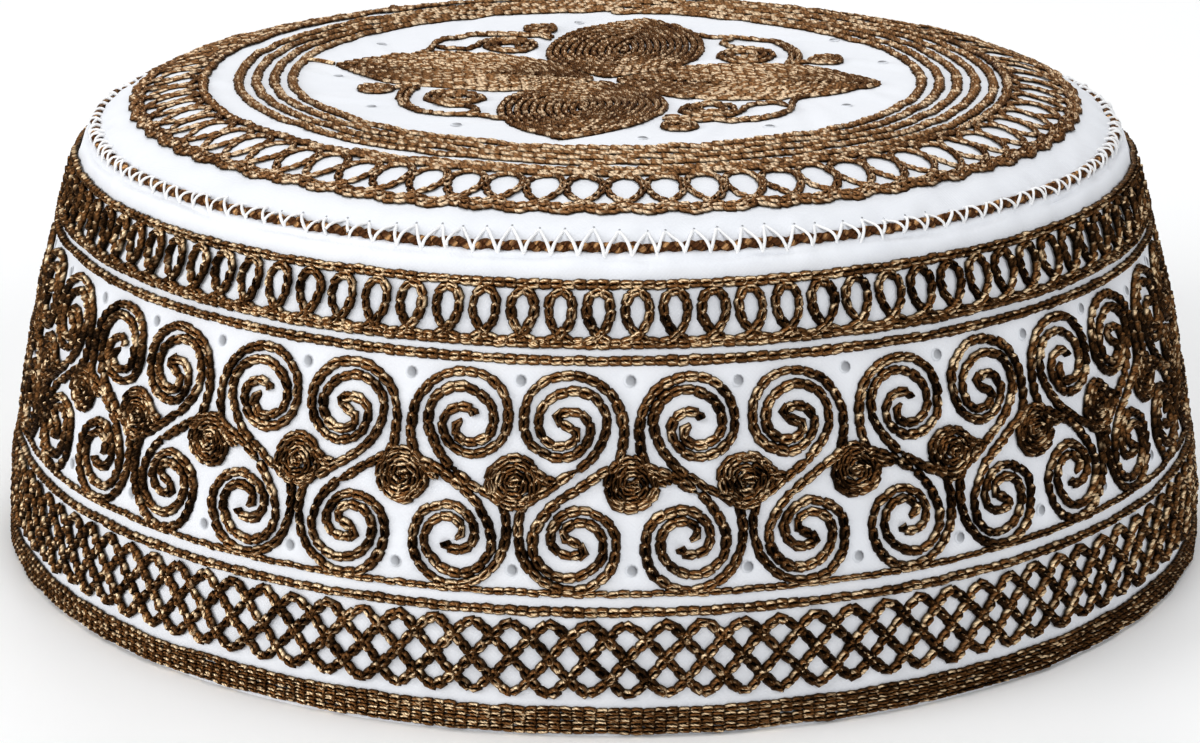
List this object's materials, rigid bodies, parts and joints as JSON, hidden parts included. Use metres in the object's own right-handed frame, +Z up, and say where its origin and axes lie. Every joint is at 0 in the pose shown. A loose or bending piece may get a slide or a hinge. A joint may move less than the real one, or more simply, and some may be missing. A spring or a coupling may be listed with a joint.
{
  "type": "embroidered kufi cap",
  "caption": "Round brimless cap with a tapered side band, a shallow crown, a stitched hem and a seam cord.",
  "frame": {"origin": "centre of the hem, on the surface that the cap rests on", "axes": "+Z up along the cap's axis to the crown, -Y towards the front that the picture shows, +X to the viewer's right"},
  "size_m": [0.187, 0.187, 0.0687],
  "materials": {
    "white_cotton": "fine plain weave",
    "brown_thread": "silky variegated thread",
    "brown_cord": "twisted cord"
  },
  "bodies": {
    "root": {"side_band": "white_cotton", "crown_panel": "white_cotton", "hem_braid": "brown_thread", "seam_cord": "brown_cord"}
  },
  "joints": []
}
